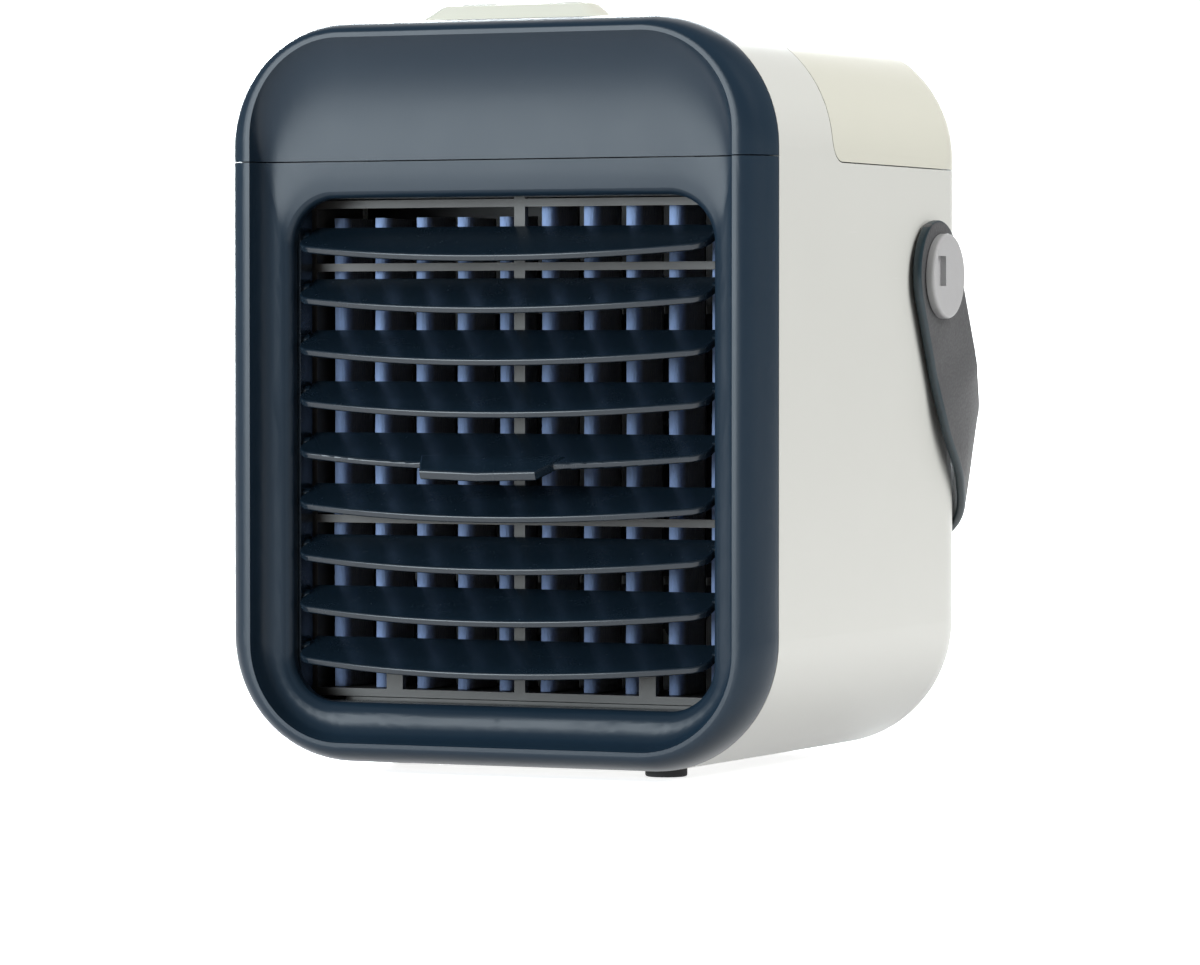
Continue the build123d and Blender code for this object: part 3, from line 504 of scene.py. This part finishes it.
# %% Strap section
def strap_section(place, across, out, half):
    """A flat lens with round painted edges and the groove between its plies."""
    half_thick = STRAP_THICKNESS / 2
    edge = half_thick * 0.95
    profile = []
    for side, turn in ((1, 1), (-1, -1)):
        for i in range(7):
            u = 1 - 2 * i / 6
            crown = half_thick * (0.90 + 0.10 * (1 - u * u))
            profile.append((turn * u * max(half - edge, 0.0), side * crown))
        for i in range(1, 8):
            angle = pi / 2 - pi * i / 8
            groove = 0.84 if i == 4 else 1.0
            profile.append((-side * (max(half - edge, 0.0) + edge * cos(angle) * groove),
                            side * half_thick * 0.9 * sin(angle)))
    return [place + across * a + out * b for a, b in profile]


# %% [markdown]
# The leather's face is charcoal with a fine pebble, a little lighter where it is rubbed. The edge
# paint is a darker green-navy with a soft gloss. Which is which comes from the mesh: each face knows
# whether it is on the edge, through its material slot.

# %% Leather and edge paint
def leather():
    colour = (0.070, 0.071, 0.074)
    shade = Shade("strap_leather", colour, 0.55, Sheen_Weight=0.12, Sheen_Roughness=0.4)
    pebble = shade.cells(0.85 * MM)
    crease = shade.noise(2.5 * MM, detail=6.0)
    rubbed = shade.noise(16 * MM, detail=2.0)
    tone = shade.mix(rubbed, tinted(colour, 0.85), tinted(colour, 1.2))
    tone = shade.mix((1 - shade.band(pebble, 0.0, 0.5)) * 0.35, tone, tinted(colour, 1.35))
    shade.feed("Base Color", shade.mix(shade.band(crease, 0.55, 0.75) * 0.4, tone, tinted(colour, 0.6)))
    shade.feed("Roughness", 0.50 + 0.16 * pebble - 0.08 * rubbed)
    shade.bump(0.5 * pebble + 0.5 * crease, 0.12 * MM)
    return shade.material


def edge_paint():
    colour = (0.012, 0.026, 0.034)
    shade = Shade("edge_paint", colour, 0.36)
    brushed = shade.noise(1.2 * MM, detail=4.0)
    shade.feed("Base Color", shade.mix(brushed, tinted(colour, 0.8), tinted(colour, 1.5)))
    shade.feed("Roughness", 0.30 + 0.18 * brushed)
    shade.bump(brushed, 0.05 * MM)
    return shade.material


# %% Strap mesh
def strap():
    stations = strap_stations()
    places = [place for place, _ in stations]
    widths = [width for _, width in stations]
    rows = 240
    rings = []
    travelled = [0.0]
    samples = [smooth_between(places, i / rows) for i in range(rows + 1)]
    for a, b in zip(samples, samples[1:]):
        travelled.append(travelled[-1] + (b - a).length)
    radius = STRAP_WIDTH / 2
    for i, place in enumerate(samples):
        ahead = samples[min(i + 1, rows)] - samples[max(i - 1, 0)]
        across = smooth_between(widths, i / rows)
        across = (across - ahead * across.dot(ahead) / ahead.length_squared).normalized()
        out = across.cross(ahead).normalized()
        from_end = min(travelled[i], travelled[-1] - travelled[i])
        half = radius
        if from_end < radius:
            half = max(sqrt(radius ** 2 - (radius - from_end) ** 2), 0.4 * MM)
        rings.append(strap_section(place, across, out, half))
    made = lofted("strap_band", rings, leather())
    made.data.materials.append(edge_paint())
    count = len(rings[0])
    for face in made.data.polygons:
        columns = {v % count for v in face.vertices}
        if len(columns) == 2 and not columns <= set(range(0, 7)) and not columns <= set(range(14, 21)):
            face.material_index = 1
    return made, travelled[-1]


strap_piece, strap_length = strap()
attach(strap_piece, "strap")
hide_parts("carry_strap")
print("strap length", round(strap_length, 3), "m")

# %% [markdown]
# ## Studio
# A seamless white floor that glows a little, so that it stays white without washing out the object.
# One low softbox in front on the left shines off every face that looks forward, and one behind on the
# left only shows as a reflection and draws the left rim. Two high ones, a low one and a soft one
# behind light the cream sides. Those four are hidden from reflections, so they put no glare on the
# upright dark bands. The surround is dim, so that the dark shells keep their depth.

# %% Where the studio stands
VIEW_SIDE = radians(26.0)
FLOOR_HALF_WIDTH = 1.2
FLOOR_END = 1.6
SWEEP_RADIUS = 0.8
BACKDROP_TOP = 3.2
print("camera side angle", round(VIEW_SIDE, 3), "floor half width", FLOOR_HALF_WIDTH, "m")


# %% Floor
def floor_material():
    shade = Shade("studio_floor", (0.86, 0.86, 0.85), 0.6)
    paper = shade.noise(120 * MM)
    shade.feed("Base Color", shade.mix(paper, (0.85, 0.85, 0.845), (0.87, 0.87, 0.865)))
    shade.shader.inputs["Emission Color"].default_value = (1.0, 1.0, 1.0, 1.0)
    shade.shader.inputs["Emission Strength"].default_value = 0.75
    return shade.material


def sweep():
    """A floor that curves up into a backdrop. It glows white, but throws no light on the object."""
    profile = [(-FLOOR_END, 0.0), (FLOOR_END, 0.0)]
    steps = 12
    for i in range(1, steps + 1):
        turn = radians(90 * i / steps)
        profile.append((FLOOR_END + SWEEP_RADIUS * sin(turn), SWEEP_RADIUS * (1 - cos(turn))))
    profile.append((FLOOR_END + SWEEP_RADIUS, BACKDROP_TOP))
    rings = [[(x, y, z) for y, z in profile] for x in (-FLOOR_HALF_WIDTH, FLOOR_HALF_WIDTH)]
    mesh = bpy.data.meshes.new("floor")
    count = len(profile)
    faces = [(i, i + 1, count + i + 1, count + i) for i in range(count - 1)]
    mesh.from_pydata([point for ring in rings for point in ring], [], faces)
    mesh.materials.append(floor_material())
    for face in mesh.polygons:
        face.use_smooth = True
    made = bpy.data.objects.new("floor", mesh)
    bpy.context.collection.objects.link(made)
    made.rotation_euler = (0, 0, VIEW_SIDE)
    made.visible_diffuse = False
    return made


floor = sweep()


# %% Lights
def softbox(name, place, aim, size, power, tint=(1.0, 1.0, 1.0), glare=True, fill=True):
    light = bpy.data.lights.new(name, "AREA")
    light.shape = "RECTANGLE"
    light.size, light.size_y = size
    light.energy = power
    light.color = tint
    made = bpy.data.objects.new(name, light)
    made.location = place
    made.rotation_euler = (Vector(aim) - Vector(place)).to_track_quat("-Z", "Y").to_euler()
    made.visible_glossy = glare
    made.visible_diffuse = fill
    bpy.context.collection.objects.link(made)
    return made


def around(azimuth, distance, height):
    """A place round the object: 0 degrees is in front of it, 90 is on its right."""
    return distance * sin(radians(azimuth)), -distance * cos(radians(azimuth)), height


centre = (0, 0, 0.09)
COOL = (0.86, 0.95, 1.0)
softbox("front_left", around(-26, 1.7, 0.34), centre, (1.0, 0.7), 24, COOL)
softbox("rim_left", around(-150, 1.9, 0.45), centre, (1.2, 0.9), 95, COOL, fill=False)
softbox("rear_left", around(-150, 1.9, 0.75), centre, (1.2, 0.9), 17, glare=False)
softbox("high_right", around(98, 1.5, 1.35), centre, (1.1, 1.1), 30, (1.0, 0.995, 0.985), glare=False)
softbox("low_right", around(96, 1.6, 0.14), centre, (1.4, 0.25), 6, glare=False)
softbox("high_left", around(-75, 1.6, 1.2), centre, (1.0, 1.0), 12, glare=False)

world = bpy.data.worlds.new("studio")
world.use_nodes = True
world.node_tree.nodes["Background"].inputs["Color"].default_value = (1.0, 1.0, 1.0, 1.0)
world.node_tree.nodes["Background"].inputs["Strength"].default_value = 0.20
bpy.context.scene.world = world

# %% [markdown]
# ## Camera
# A long lens, almost level, 26 degrees round to the object's right. The focal length is given as a
# share of a frame 1200 wide, so that it doesn't hang on the sensor's size. A small turn centres the
# object across the frame, and a small tilt leaves more floor below it than air above.

# %% Camera
FRAME_WIDTH = 1200
SENSOR_WIDTH = 36.0
ridge_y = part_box("front_bezel")[0].y
DISTANCE = 1.445
HEIGHT = 0.109
FOCAL = 5780.0
TURN = radians(1.13)
TILT = radians(1.40)


def studio_camera():
    data = bpy.data.cameras.new("camera")
    data.sensor_width = SENSOR_WIDTH
    data.lens = FOCAL / FRAME_WIDTH * SENSOR_WIDTH
    data.clip_start, data.clip_end = 0.05, 20.0
    made = bpy.data.objects.new("camera", data)
    made.location = (DISTANCE * sin(VIEW_SIDE), ridge_y - DISTANCE * cos(VIEW_SIDE), HEIGHT)
    made.rotation_euler = (radians(90) - TILT, 0, VIEW_SIDE - TURN)
    bpy.context.collection.objects.link(made)
    bpy.context.scene.camera = made
    return made


studio_camera()
bpy.context.scene.view_settings.view_transform = "Standard"
